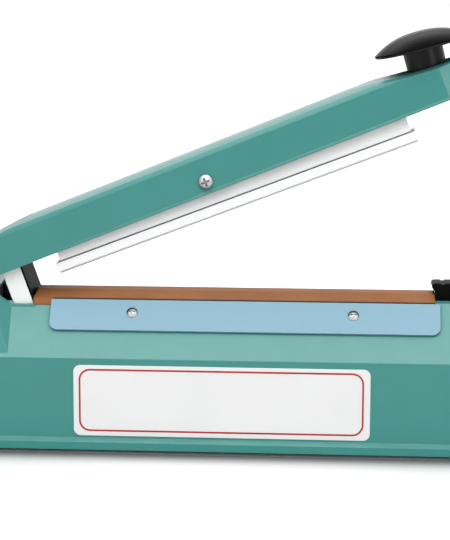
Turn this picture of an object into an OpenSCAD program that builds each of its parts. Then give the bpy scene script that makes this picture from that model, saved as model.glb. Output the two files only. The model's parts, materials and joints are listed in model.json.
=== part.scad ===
// Hand impulse sealer with a lever arm, drawn open
// Millimetres, +Z up, +X toward the handle end, the front faces -Y

/* [Body] */
// Length over the foot flange
body_l = 312; // [306:1:330]
// Width over the foot flange
body_w = 82; // [80:0.5:88]
// Height of the flat ridge above the table
ridge_z = 77.2; // [75:0.2:80]
// Height of the shoulder line
shoulder_z = 50; // [47:0.5:53]
// Width of the flat ridge
ridge_w = 27; // [26:0.5:29]
// Wall of the mouldings
wall = 2.5; // [2.2:0.1:2.8]

/* [Seal] */
// Length of the press bar
press_l = 203; // [195:1:206]
// Width of the heating ribbon
ribbon_w = 2; // [2:0.5:5]
// Width of each clamp plate
plate_w = 18; // [16:0.5:20]

/* [Arm] */
// Angle through which the arm closes
open_a = 20.4; // [18:0.2:20.4]
// Width of the arm cover
arm_w = 36; // [36:0.5:40]
// Diameter of the handle cap
knob_d = 49.8; // [44:0.2:54]
// Diameter of the handle stem
stem_d = 20.6; // [18:0.2:22]

/* [Timer] */
// Diameter of the timer dial
dial_d = 27; // [24:0.5:30]

/* [Hidden] */
$fn = 48;
e = 0.01;
x_l = -body_l / 2;
x_r = body_l / 2;
foot_h = 2;
flange_z = foot_h + 4.2;
ledge_z = flange_z + 1.5;
wall_y0 = body_w / 2 - 3.4;
wall_y1 = wall_y0 - 1.6;
end_x = x_r - 3.5;
slope_a = atan2(ridge_z - shoulder_z, wall_y1 - ridge_w / 2);
plate_top = foot_h + 1.6;
tower_z = ridge_z + 6;
rim_z = ridge_z - 2.9;
// arm hinge, taken from the ridge and the left end
hinge_x = x_l + 42.8;
hinge_z = ridge_z + 23.8;
nose = 1.45;
// lean of the leg when the arm is shut
leg_lean = -1.2;
slot_x0 = hinge_x - 24.3;
slot_x1 = hinge_x + 14.9;
// press bar pin in the closed pose, and the bar's slight rocking when open
pin_x = hinge_x + 113.7;
pin_z = hinge_z + 0.5;
rail_drop = 20.3;
rock0 = 0.57;
bar_s0 = -92.6;
bar_s1 = bar_s0 + press_l;
press_gap = 0.4;
seal_top = pin_z - rail_drop - press_gap;
cloth_x0 = slot_x1 + 0.3;
cloth_x1 = cloth_x0 + press_l + 8.6;
clamp_x0 = cloth_x0 + 8.7;
clamp_x1 = cloth_x1 + 2.4;
block_x = cloth_x1 + 0.4;
block_screw = block_x + 11.8;
screw_drop = 9;   // terminal screw's reach below the ridge
screw_end = 0.2;  // its bore goes on by this much
// arm, in its own frame with the hinge at the origin
arm_u0 = -26;
arm_u1 = 113.7 + bar_s1 + 33.6;
arm_low = -8.85;
arm_top = 13.7;
arm_wall = 1.6;
arm_in = arm_w / 2 - arm_wall;
knob_u = arm_u1 - 16.7;
// the top falls to the nose in three slopes, and the knob stands in a shallow seat
pad_a = 7;
pad_edge = [[arm_u1, arm_top - 6.2], [arm_u1 - 27, arm_top - 4.2], [arm_u1 - 44.6, arm_top - 2.1]];
pad_top = [for (p = pad_edge) p + [0, 1.2]];
pad_foot = 1.3;
pad_l = 62.5;
pad_w = arm_top - 5.58;
frame_y = arm_in - 1;
leg_y = frame_y - 1.5;
lug_y = leg_y - 3.3;
lug_t = 1.6;
slot_y = leg_y + 0.7;
tower_y = slot_y + 7.7;
dial_z = 36;
dial_out = 15;
gland_z = 22;
lamp_z = ridge_z - 13.2;
tail_u = -17;
tail_w = 3;
spring_x = hinge_x + tail_u * cos(open_a + nose) - tail_w * sin(open_a + nose);
spring_z1 = hinge_z + tail_u * sin(open_a + nose) + tail_w * cos(open_a + nose);
spring_z0 = 40;
spring_r = 3.9;
wire_r = 0.6;
core_x = x_r - 126;
board_x = x_r - 62;

// helpers
module yz_prism(x0, x1) translate([x0, 0, 0]) rotate([90, 0, 90]) linear_extrude(x1 - x0) children();
module xz_prism(y0, y1) translate([0, y1, 0]) rotate([90, 0, 0]) linear_extrude(y1 - y0) children();
module ycyl(x, z, r, y0, y1) translate([x, y1, z]) rotate([90, 0, 0]) cylinder(r = r, h = y1 - y0);
module xcyl(y, z, r, x0, x1) translate([x0, y, z]) rotate([0, 90, 0]) cylinder(r = r, h = x1 - x0);
module box(x0, x1, y0, y1, z0, z1) translate([x0, y0, z0]) cube([x1 - x0, y1 - y0, z1 - z0]);
module both_y() { children(); mirror([0, 1, 0]) children(); }
function arc(cx, cy, r, a0, a1, n) =
  [for (i = [0:n]) [cx + r * cos(a0 + (a1 - a0) * i / n), cy + r * sin(a0 + (a1 - a0) * i / n)]];
function round_rect(l, w, r) = concat(arc(l / 2 - r, w / 2 - r, r, 0, 90, 8),
  arc(-l / 2 + r, w / 2 - r, r, 90, 180, 8), arc(-l / 2 + r, -w / 2 + r, r, 180, 270, 8),
  arc(l / 2 - r, -w / 2 + r, r, 270, 360, 8));
// plan of the arm from u0 to u1: tail radius t, nose radius n in k facets
function arm_plan(u0, u1, w, t, n, k = 10) = concat(arc(u1 - n, w / 2 - n, n, 0, 90, k),
  arc(u0 + t, w / 2 - t, t, 90, 180, 6), arc(u0 + t, -w / 2 + t, t, 180, 270, 6),
  arc(u1 - n, -w / 2 + n, n, 270, 360, k));
// frames: the open arm, the open press bar, the front slope
module in_arm() translate([hinge_x, 0, hinge_z]) rotate([0, -(open_a + nose), 0]) children();
module in_leg() translate([hinge_x, 0, hinge_z]) rotate([0, -(open_a + leg_lean), 0]) children();
module in_bar()
  translate([hinge_x, 0, hinge_z]) rotate([0, -open_a, 0])
    translate([pin_x - hinge_x, 0, pin_z - hinge_z]) rotate([0, -rock0, 0]) children();
module on_slope() translate([0, -ridge_w / 2, ridge_z]) rotate([slope_a, 0, 0]) children();
module on_pad() in_arm() translate([knob_u, 0, pad_w]) rotate([0, pad_a, 0]) children();

// cross-section of the housing, inset by d
function house(d) = [[-(wall_y0 - d), -1], [wall_y0 - d, -1], [wall_y0 - d, ledge_z],
  [wall_y1 - d, shoulder_z - 0.45 * d], [ridge_w / 2 - 0.45 * d, ridge_z - d],
  [-(ridge_w / 2 - 0.45 * d), ridge_z - d], [-(wall_y1 - d), shoulder_z - 0.45 * d],
  [-(wall_y0 - d), ledge_z]];
function tower(d) = [[-(wall_y1 - d), shoulder_z - 2], [wall_y1 - d, shoulder_z - 2],
  [tower_y - d, tower_z - d], [-(tower_y - d), tower_z - d]];

module tower_solid() difference() {
  intersection() {
    yz_prism(-end_x, hinge_x + 3.2) polygon(tower(0));
    xz_prism(-60, 60) polygon([[-end_x - 1, shoulder_z - 3], [hinge_x + 3.2, shoulder_z - 3],
      [hinge_x + 3.2, rim_z], [hinge_x + 1.7, rim_z + 0.3], [hinge_x - 0.3, rim_z + 1.6],
      [hinge_x - 10, tower_z - 0.5], [hinge_x - 11.6, tower_z], [-end_x - 1, tower_z]]);
  }
  // slanting facets where the tower runs out into the shoulder
  both_y() translate([hinge_x + 3.2, -29.5, shoulder_z + 7.8]) rotate([0, -29.1, -39.6])
    translate([0, -body_w, -body_w]) cube([body_w, 2 * body_w, 2 * body_w]);
}

module base_housing() color([0.31, 0.57, 0.54]) difference() {
  union() {
    intersection() {
      yz_prism(x_l - 1, x_r + 1) polygon([[-body_w / 2, foot_h], [body_w / 2, foot_h],
        [body_w / 2, flange_z], [wall_y0 - 0.5, ledge_z], [-wall_y0 + 0.5, ledge_z], [-body_w / 2, flange_z]]);
      xz_prism(-60, 60) polygon([[x_l, foot_h - 1], [x_r, foot_h - 1], [x_r, flange_z],
        [end_x - 0.5, ledge_z], [-end_x + 0.5, ledge_z], [x_l, flange_z]]);
      linear_extrude(40) polygon(round_rect(body_l + 0.2, body_w + 0.2, 9));
    }
    intersection() {
      yz_prism(-end_x, end_x) polygon(house(0));
      translate([0, 0, foot_h]) linear_extrude(ridge_z)
        polygon(round_rect(2 * end_x + 0.4, 2 * wall_y0 + 0.4, 8));
    }
    intersection() {
      tower_solid();
      translate([0, 0, foot_h]) linear_extrude(tower_z)
        polygon(round_rect(2 * end_x + 0.4, 2 * wall_y0 + 0.4, 8));
    }
    box(hinge_x - 2, slot_x1 + 0.2, -slot_y - 2.4, slot_y + 2.4, 62, rim_z);
  }
  difference() {
    yz_prism(-end_x + wall, end_x - wall) polygon(house(wall));
    // posts for the bottom screws
    for (x = [-end_x + 8, 0, end_x - 8]) both_y()
      translate([x, wall_y0 - 5.5, plate_top]) cylinder(r = 4, h = 14);
  }
  yz_prism(-end_x + wall, hinge_x - 13) polygon(tower(wall));
  translate([0, 0, foot_h - 1]) linear_extrude(plate_top - foot_h + 1)
    polygon(round_rect(2 * end_x - 2, 2 * wall_y0 - 2, 7));
  for (x = [-end_x + 8, 0, end_x - 8]) both_y()
    translate([x, wall_y0 - 5.5, 0]) cylinder(r = 1.25, h = 14);
  box(slot_x0, slot_x1, -slot_y, slot_y, 58, tower_z + 9);
  // flat rim on both sides of the slot
  box(hinge_x + 3.1, slot_x1, -slot_y - 6, slot_y + 6, rim_z, tower_z + 9);
  // pocket for the switch beside the slot
  box(hinge_x - 25, hinge_x - 7, -lug_y - 8.9, lug_y + 8.9, 50, ridge_z + 1.1);
  xcyl(0, dial_z, 3.7, end_x - 6, end_x + 2);
  xcyl(0, lamp_z, 4.2, end_x - 6, end_x + 2);
  xcyl(0, gland_z, 6.1, -end_x - 2, -end_x + 6);
  for (x = [clamp_x0 + 43.6, clamp_x1 - 45.2]) both_y()
    on_slope() translate([x, -8.85, -8]) cylinder(r = 1.25, h = 9);
  translate([block_screw, 0, ridge_z - screw_drop - screw_end]) cylinder(r = 1.6, h = screw_drop + screw_end + 4);
}

module bottom_plate() color([0.55, 0.56, 0.58]) difference() {
  translate([0, 0, plate_top - 1.2]) linear_extrude(1.2)
    polygon(round_rect(2 * end_x - 3, 2 * wall_y0 - 3, 6.5));
  for (x = [-end_x + 8, 0, end_x - 8]) both_y()
    translate([x, wall_y0 - 5.5, -1]) cylinder(r = 1.7, h = 14);
  for (x = [-110, -104, -98, -92, -86, -80]) both_y()
    for (y = [6, 14]) box(x_r + x - 1.2, x_r + x + 1.2, y, y + 6, -1, 8);
}

module rubber_feet() color([0.08, 0.08, 0.08])
  for (x = [-end_x + 22, end_x - 22]) both_y()
    translate([x, wall_y0 - 10, 0]) cylinder(r = 7, h = plate_top - 1.2);

module bottom_screws() color([0.75, 0.75, 0.76])
  for (x = [-end_x + 8, 0, end_x - 8]) both_y() translate([x, wall_y0 - 5.5, 0]) difference() {
    union() {
      translate([0, 0, plate_top - 2.7]) cylinder(r = 3, h = 1.5);
      translate([0, 0, plate_top - 1.3]) cylinder(r = 1.25, h = 9);
    }
    box(-1.8, 1.8, -0.4, 0.4, plate_top - 3, plate_top - 2.1);
    box(-0.4, 0.4, -1.8, 1.8, plate_top - 3, plate_top - 2.1);
  }

// fixed bracket that carries the arm's hinge pin
module bracket_side() difference() {
  union() {
    ycyl(hinge_x, hinge_z, 6.9, lug_y - lug_t, lug_y);
    xz_prism(lug_y - lug_t, lug_y) polygon([[hinge_x + 5.52, hinge_z - 4.14], [hinge_x - 5.52, hinge_z + 4.14],
      [hinge_x - 20.5, hinge_z - 15.9], [hinge_x - 23.8, hinge_z - 20], [hinge_x - 23.8, plate_top],
      [hinge_x - 7.8, plate_top], [hinge_x - 7.8, hinge_z - 21.9]]);
  }
  ycyl(hinge_x, hinge_z, 3, lug_y - 3, lug_y + 1);
  ycyl(spring_x, spring_z0, 1.75, lug_y - 3, lug_y + 1);
}
module hinge_bracket() color([0.72, 0.72, 0.73]) {
  mirror([0, 1, 0]) bracket_side();
  difference() {
    bracket_side();
    for (z = [hinge_z - 29.5, hinge_z - 39]) ycyl(hinge_x - 17.2, z, 1.1, lug_y - 3, lug_y + 1);
  }
  difference() {
    box(hinge_x - 23.8, hinge_x + 8, -lug_y + lug_t, lug_y - lug_t, plate_top, plate_top + 1.6);
    for (x = [hinge_x - 15.8, hinge_x + 2]) translate([x, 0, 0]) cylinder(r = 2.1, h = 20);
  }
}
module hinge_pin() color([0.8, 0.8, 0.82]) ycyl(hinge_x, hinge_z, 3, -frame_y - 0.6, frame_y + 0.6);
module hinge_washers() color([0.93, 0.93, 0.9]) both_y() difference() {
  ycyl(hinge_x, hinge_z, 4.4, lug_y, leg_y - 1.7 - 0.35);
  ycyl(hinge_x, hinge_z, 3, lug_y - 1, leg_y);
}
module bracket_screws() color([0.75, 0.75, 0.76])
  for (x = [hinge_x - 15.8, hinge_x + 2]) translate([x, 0, plate_top + 1.6]) {
    cylinder(r = 3.6, h = 2.2);
    translate([0, 0, -1.6]) cylinder(r = 2, h = 2);
  }
module spring_anchor() color([0.75, 0.75, 0.76]) ycyl(spring_x, spring_z0, 1.75, -lug_y - 1, lug_y + 1);

// return spring: one unbroken wire, hook, coil, hook
turns = 17;
coil_z0 = spring_z0 + 6.2;
coil_z1 = spring_z1 - 6.2;
hook_r = 2.95;
low_hook = [for (i = [0:18]) let (a = 210 - 300 * i / 18) [hook_r * cos(a), 0, spring_z0 - hook_r * sin(a)]];
top_hook = [for (i = [0:18]) let (a = -90 + 300 * i / 18) [hook_r * cos(a), 0, spring_z1 + hook_r * sin(a)]];
coil = [for (i = [0:turns * 12]) let (t = i / (turns * 12), a = -90 + 360 * turns * t)
  [spring_r * cos(a), spring_r * sin(a), coil_z0 + (coil_z1 - coil_z0) * t]];
wire = concat(low_hook, [[0, -0.6, spring_z0 + hook_r + 0.9], [0, -2.6, coil_z0 - 1.1]], coil,
  [[0, -2.6, coil_z1 + 1.1], [0, -0.6, spring_z1 - hook_r - 0.9]], top_hook);
function unit(v) = v / norm(v);
function tangent(i) = unit(wire[min(i + 1, len(wire) - 1)] - wire[max(i - 1, 0)]);
// the section's frame is carried along the wire without twisting
function carry(v, t) = unit(v - t * (v * t));
function frames(i, v, out) = i == len(wire) ? out :
  let (w = carry(v, tangent(i))) frames(i + 1, w, concat(out, [w]));
rings = frames(0, [0, 1, 0], []);
ring_pts = [for (i = [0:len(wire) - 1]) let (u = rings[i], v = cross(tangent(i), u))
  for (k = [0:5]) wire[i] + wire_r * (cos(60 * k) * u + sin(60 * k) * v)];
ring_n = len(wire);
module return_spring() color([0.62, 0.63, 0.65]) translate([spring_x, 0, 0]) polyhedron(ring_pts,
  concat([[5, 4, 3, 2, 1, 0]], [for (i = [0:ring_n - 2]) for (k = [0:5])
    [6 * i + k, 6 * i + (k + 1) % 6, 6 * i + 6 + k]],
  [for (i = [0:ring_n - 2]) for (k = [0:5])
    [6 * i + (k + 1) % 6, 6 * i + 6 + (k + 1) % 6, 6 * i + 6 + k]],
    [[for (k = [0:5]) 6 * (ring_n - 1) + k]]), convexity = 10);
// least clear gap between parts of the wire that aren't neighbours, measured on its points
least_gap = min([for (i = [0:ring_n - 1]) for (j = [0:ring_n - 1])
  if (j - i > 8) norm(wire[i] - wire[j])]) - 2 * wire_r;
echo(spring_least_gap = least_gap);

module seal_bar() color([0.8, 0.81, 0.82])
  yz_prism(cloth_x0 + 0.4, cloth_x1 - 0.3) polygon([[-7.5, ridge_z], [7.5, ridge_z], [5, seal_top - 0.9],
    [-5, seal_top - 0.9]]);
module insulating_strip() color([0.9, 0.88, 0.8])
  box(cloth_x0 + 0.4, cloth_x1 - 0.3, -4.6, 4.6, seal_top - 0.9, seal_top - 0.6);
module heating_ribbon() color([0.6, 0.58, 0.55])
  box(cloth_x0 - 0.2, cloth_x1 + 3, -ribbon_w / 2, ribbon_w / 2, seal_top - 0.6, seal_top - 0.35);
module release_cloth() color([0.67, 0.48, 0.34]) {
  y2 = ridge_w / 2 + 0.1;
  z2 = ridge_z + 0.1;
  yz_prism(cloth_x0, cloth_x1) polygon([[-y2, z2], [-5.2, seal_top], [5.2, seal_top], [y2, z2],
    [y2 - 0.8, z2], [5.05, seal_top - 0.3], [-5.05, seal_top - 0.3], [-y2 + 0.8, z2]]);
  both_y() on_slope() box(cloth_x0, cloth_x1, -4.4, 0.3, 0.05, 0.35);
}
plate_y = -1.3;
plate_r = 4.4;
plate_t = 1.2;
function plate_pts() = concat([[clamp_x0 + 0.6, plate_y], [clamp_x0, plate_y - 0.6]],
  arc(clamp_x0 + plate_r, plate_y - plate_w + plate_r, plate_r, 180, 270, 10),
  arc(clamp_x1 - plate_r, plate_y - plate_w + plate_r, plate_r, 270, 360, 10),
  [[clamp_x1, plate_y - 0.6], [clamp_x1 - 0.6, plate_y]]);
module clamp_plate() on_slope() difference() {
  translate([0, 0, 0.4]) linear_extrude(plate_t) polygon(plate_pts());
  for (x = [clamp_x0 + 43.6, clamp_x1 - 45.2]) translate([x, -8.85, -1]) cylinder(r = 1.6, h = 4);
}
module clamp_plate_front() color([0.62, 0.76, 0.84]) clamp_plate();
module clamp_plate_rear() color([0.62, 0.76, 0.84]) mirror([0, 1, 0]) clamp_plate();
module clamp_screws() color([0.78, 0.78, 0.8])
  for (x = [clamp_x0 + 43.6, clamp_x1 - 45.2]) both_y() on_slope() translate([x, -8.85, 0]) {
    difference() {
      intersection() {
        translate([0, 0, 0.4 + plate_t]) cylinder(r = 2.95, h = 1.7);
        translate([0, 0, -0.4]) sphere(r = 3.7);
      }
      box(-1.7, 1.7, -0.35, 0.35, 2.5, 4);
      box(-0.35, 0.35, -1.7, 1.7, 2.5, 4);
    }
    translate([0, 0, -7]) cylinder(r = 1.25, h = 8.8);
  }

// moulded block at the handle end of the seal bar, with its lipped head
block_h = 9.2;
block_y = 6.6;
half_block = [[block_y, -1], [block_y, 6.5], [block_y - 0.5, 6.5], [block_y - 0.5, 7], [block_y, 7],
  [block_y - 0.8, block_h + 0.6], [block_y - 1.7, block_h + 0.6], [block_y - 1.7, block_h - 0.5],
  [block_y - 2.3, block_h - 0.5], [block_y - 2.3, block_h + 0.6]];
module terminal_block() color([0.06, 0.06, 0.06]) difference() {
  intersection() {
    xz_prism(-block_y - 1, block_y + 1) polygon(concat([[block_x + 0.2, ridge_z], [block_x + 18, ridge_z],
      [block_x + 18, ridge_z + block_h - 1], [block_x + 17, ridge_z + block_h]],
      arc(block_x - 0.3, ridge_z + block_h - 1.7, 1.7, 90, 235, 8), [[block_x + 0.1, ridge_z + 4]]));
    yz_prism(block_x - 3, block_x + 19) translate([0, ridge_z]) polygon(concat(half_block,
      [for (i = [len(half_block) - 1:-1:0]) [-half_block[i][0], half_block[i][1]]]));
  }
  // notch across the head, well of the terminal screw, slot for the ribbon's end
  box(block_x + 2.8, block_x + 5, -12, 12, ridge_z + block_h - 0.5, ridge_z + block_h + 2);
  translate([block_screw, 0, ridge_z + 4]) cylinder(r = 4.1, h = 10);
  translate([block_screw, 0, ridge_z - 1]) cylinder(r = 1.6, h = 10);
  box(block_x - 2, block_x + 4.2, -ribbon_w / 2 - 0.6, ribbon_w / 2 + 0.6, seal_top - 0.9, seal_top + 0.4);
}
module terminal_screw() color([0.75, 0.62, 0.32]) translate([block_screw, 0, 0]) {
  difference() {
    translate([0, 0, ridge_z + 4]) cylinder(r = 3.2, h = 2.2);
    box(-4, 4, -0.4, 0.4, ridge_z + 5.4, ridge_z + 8);
  }
  translate([0, 0, ridge_z - screw_drop]) cylinder(r = 1.6, h = screw_drop + 4.1);
}
module terminal_tab() color([0.78, 0.66, 0.36]) {
  box(cloth_x0 - 0.9, cloth_x0 - 0.2, -3, 3, ridge_z + 0.5, seal_top - 0.7);
  box(cloth_x0 - 0.25, cloth_x0 + 0.4, -3, 3, ridge_z + 0.5, ridge_z + 1.2);
}

// transformer
module transformer_core() color([0.35, 0.35, 0.36]) difference() {
  box(core_x - 33, core_x + 33, -14, 14, plate_top + 1.5, plate_top + 51.5);
  for (s = [-1, 1]) translate([s * 16.5, 0, 0])
    box(core_x - 5.5, core_x + 5.5, -20, 20, plate_top + 12.5, plate_top + 40.5);
}
module transformer_bobbin() color([0.9, 0.88, 0.8]) difference() {
  union() {
    box(core_x - 12.3, core_x + 12.3, -15.3, 15.3, plate_top + 12.5, plate_top + 40.5);
    for (z = [plate_top + 12.5, plate_top + 39]) box(core_x - 21.9, core_x + 21.9, -24, 24, z, z + 1.5);
  }
  box(core_x - 11, core_x + 11, -14, 14, plate_top + 10, plate_top + 43);
}
module coil_block(z0, z1, t) difference() {
  translate([0, 0, z0]) linear_extrude(z1 - z0) translate([core_x, 0])
    polygon(round_rect(24.6 + 2 * t, 30.6 + 2 * t, 3));
  box(core_x - 12.3, core_x + 12.3, -15.3, 15.3, z0 - 1, z1 + 1);
}
module primary_winding() color([0.62, 0.36, 0.18]) coil_block(plate_top + 14, plate_top + 29, 8);
module secondary_winding() color([0.7, 0.42, 0.2]) coil_block(plate_top + 29.6, plate_top + 39, 6.5);
module transformer_strap() color([0.72, 0.72, 0.73]) difference() {
  xz_prism(-14, 14) polygon([[core_x - 46, plate_top], [core_x - 34.5, plate_top],
    [core_x - 34.5, plate_top + 51.5], [core_x + 34.5, plate_top + 51.5], [core_x + 34.5, plate_top],
    [core_x + 46, plate_top], [core_x + 46, plate_top + 1.5], [core_x + 36, plate_top + 1.5],
    [core_x + 36, plate_top + 53], [core_x - 36, plate_top + 53], [core_x - 36, plate_top + 1.5],
    [core_x - 46, plate_top + 1.5]]);
  for (s = [-1, 1]) translate([core_x + s * 41, 0, 0]) cylinder(r = 2.1, h = 20);
}
module transformer_screws() color([0.75, 0.75, 0.76])
  for (s = [-1, 1]) translate([core_x + s * 41, 0, plate_top + 1.5]) {
    cylinder(r = 3.6, h = 2.4);
    translate([0, 0, -1.5]) cylinder(r = 2, h = 2);
  }

// timer electronics
module timer_board() color([0.16, 0.4, 0.24]) difference() {
  box(board_x - 12, board_x + 40, -26, 26, plate_top + 10, plate_top + 11.6);
  for (x = [board_x - 8, board_x + 36]) for (y = [-22, 22])
    translate([x, y, plate_top + 8]) cylinder(r = 1.6, h = 6);
}
module board_posts() color([0.93, 0.93, 0.9])
  for (x = [board_x - 8, board_x + 36]) for (y = [-22, 22]) translate([x, y, plate_top]) {
    cylinder(r = 3, h = 10);
    cylinder(r = 1.6, h = 12.6);
  }
module timer_relay() color([0.1, 0.24, 0.5]) {
  box(board_x - 4, board_x + 15, -20, -4.5, plate_top + 11.6, plate_top + 26.6);
  for (x = [-1, 5, 12]) for (y = [-17, -8])
    translate([board_x + x, y, plate_top + 8.4]) cylinder(r = 0.5, h = 1.6);
}
module timing_capacitor() color([0.12, 0.14, 0.3]) {
  translate([board_x + 8, 8, plate_top + 11.6]) cylinder(r = 6.3, h = 20);
  translate([board_x + 26, -14, plate_top + 11.6]) cylinder(r = 4, h = 11);
}
module potentiometer() color([0.6, 0.6, 0.62]) difference() {
  union() {
    xcyl(0, dial_z, 8.2, end_x - wall - 10, end_x - wall);
    xcyl(0, dial_z, 3.5, end_x - wall - 1, end_x + 4.2);
    box(end_x - wall - 8, end_x - wall - 6.5, -5.5, 5.5, dial_z - 17, dial_z - 6);
  }
  xcyl(0, dial_z, 3.05, end_x - wall - 6, end_x + 5);
}
module dial_nut() color([0.8, 0.8, 0.82]) difference() {
  translate([end_x + 0.7, 0, dial_z]) rotate([0, 90, 0]) cylinder(r = 6, h = 2.2, $fn = 6);
  xcyl(0, dial_z, 3.5, end_x, end_x + 4);
}
module scale_plate() color([0.92, 0.92, 0.9]) difference() {
  xcyl(0, dial_z, 21, end_x, end_x + 0.7);
  xcyl(0, dial_z, 3.7, end_x - 1, end_x + 2);
}
module dial_shaft() color([0.8, 0.8, 0.82]) xcyl(0, dial_z, 3, end_x - wall - 5.5, end_x + 12);
module timer_dial() color([0.07, 0.07, 0.07]) difference() {
  union() {
    xcyl(0, dial_z, dial_d / 2, end_x + 1.3, end_x + 4.5);
    xcyl(0, dial_z, dial_d / 2 - 3.5, end_x + 4.5, end_x + dial_out);
  }
  xcyl(0, dial_z, 6.6, end_x + 1, end_x + 5);
  xcyl(0, dial_z, 3, end_x + 3, end_x + 12);
  // grip flutes and the pointer groove
  for (a = [30:30:330]) rotate_about(a) xcyl(0, dial_z + dial_d / 2 - 2.6, 1.7, end_x + 4.5, end_x + 16);
  box(end_x + dial_out - 0.6, end_x + dial_out + 1, -0.6, 0.6, dial_z + 3.5, dial_z + dial_d / 2 - 3);
}
module rotate_about(a) translate([0, 0, dial_z]) rotate([a, 0, 0]) translate([0, 0, -dial_z]) children();
module lamp_holder() color([0.1, 0.1, 0.1]) difference() {
  union() {
    xcyl(0, lamp_z, 4.2, end_x - wall - 8, end_x);
    xcyl(0, lamp_z, 5.6, end_x, end_x + 1.2);
  }
  xcyl(0, lamp_z, 3.2, end_x - wall - 6, end_x + 2);
}
module indicator_lens() color([0.8, 0.12, 0.1]) {
  xcyl(0, lamp_z, 3.2, end_x - wall - 6, end_x + 1.2);
  translate([end_x + 1.2, 0, lamp_z]) rotate([0, 90, 0]) cylinder(r1 = 3.2, r2 = 2.2, h = 1.6);
}

// microswitch on the hinge bracket, worked by the rear flange of the arm's leg
switch_x = hinge_x - 6.5;
switch_z = hinge_z - 27;
module switch_body() color([0.12, 0.12, 0.13]) difference() {
  union() {
    box(switch_x - 13.5, switch_x - 3, lug_y, lug_y + 6.4, switch_z - 16, switch_z + 3.6);
    for (z = [-13, -7, -1])
      box(switch_x - 17.5, switch_x - 13.5, lug_y + 1.6, lug_y + 4.8, switch_z + z - 0.25, switch_z + z + 0.25);
  }
  xcyl(leg_y - 0.85, switch_z, 1.25, switch_x - 7, switch_x);
  for (z = [hinge_z - 29.5, hinge_z - 39]) ycyl(hinge_x - 17.2, z, 1.1, lug_y - 3, lug_y + 9);
}
module switch_plunger() color([0.75, 0.14, 0.1]) {
  xcyl(leg_y - 0.85, switch_z, 1.2, switch_x - 5.6, switch_x - 0.4);
}
module switch_screws() color([0.75, 0.75, 0.76])
  for (z = [hinge_z - 29.5, hinge_z - 39]) {
    ycyl(hinge_x - 17.2, z, 1.1, lug_y - 2.4, lug_y + 6.4);
    ycyl(hinge_x - 17.2, z, 2, lug_y + 6.4, lug_y + 8);
  }
// gland of the mains lead: flanged bush with a domed nut, as long as the dial stands out
module cord_bush() color([0.08, 0.08, 0.08]) difference() {
  union() {
    xcyl(0, gland_z, 6, -end_x - 1, -end_x + wall + 7);
    translate([-end_x + wall, 0, gland_z]) rotate([0, 90, 0]) cylinder(r = 9, h = 3.6, $fn = 6);
    translate([-end_x - 4.5, 0, gland_z]) rotate([0, 90, 0]) cylinder(r = 9.4, h = 4.5, $fn = 6);
    translate([-end_x - dial_out, 0, gland_z]) rotate([0, 90, 0]) cylinder(r1 = 5.6, r2 = 8, h = dial_out - 4.5);
  }
  xcyl(0, gland_z, 3.6, -end_x - 20, -end_x + 20);
}

// arm cover: crowned top, sloping pad under the knob, open below
arm_side = concat([[-7, arm_low], [arm_u1, arm_low]], pad_top, [[arm_u1 - pad_l, arm_top + 0.4],
  [23, arm_top + 0.4], [17, arm_top - 0.2], [-5, arm_top - 2.9], [arm_u0 + 3, arm_top - 5.2],
  [arm_u0, arm_top - 7.8], [arm_u0, 1], [-19, -5]]);
arm_hollow = concat([[arm_u0 - 5, arm_low - 5], [arm_u1 - 2, arm_low - 5], [arm_u1 - 2, arm_top - 8.35]],
  [for (i = [1:2]) pad_top[i] - [0, 2.3]], [[arm_u1 - pad_l, arm_top - 3], [17, arm_top - 3],
  [-5, arm_top - 5.4], [arm_u0 + 5, arm_top - 7.5], [arm_u0 + 1.8, arm_top - 9.5], [arm_u0 + 1.8, -3]]);
// half of the cover's section: side, small chamfers, crowned top
half_arm = concat([[arm_w / 2, -40], [arm_w / 2, arm_top - 3.9], [arm_w / 2 - 0.5, arm_top - 2.6]],
  [for (i = [10:-1:1]) let (y = i / 10 * (arm_w / 2 - 1.3)) [y, arm_top - 1.65 * i * i / 100]]);
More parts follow.
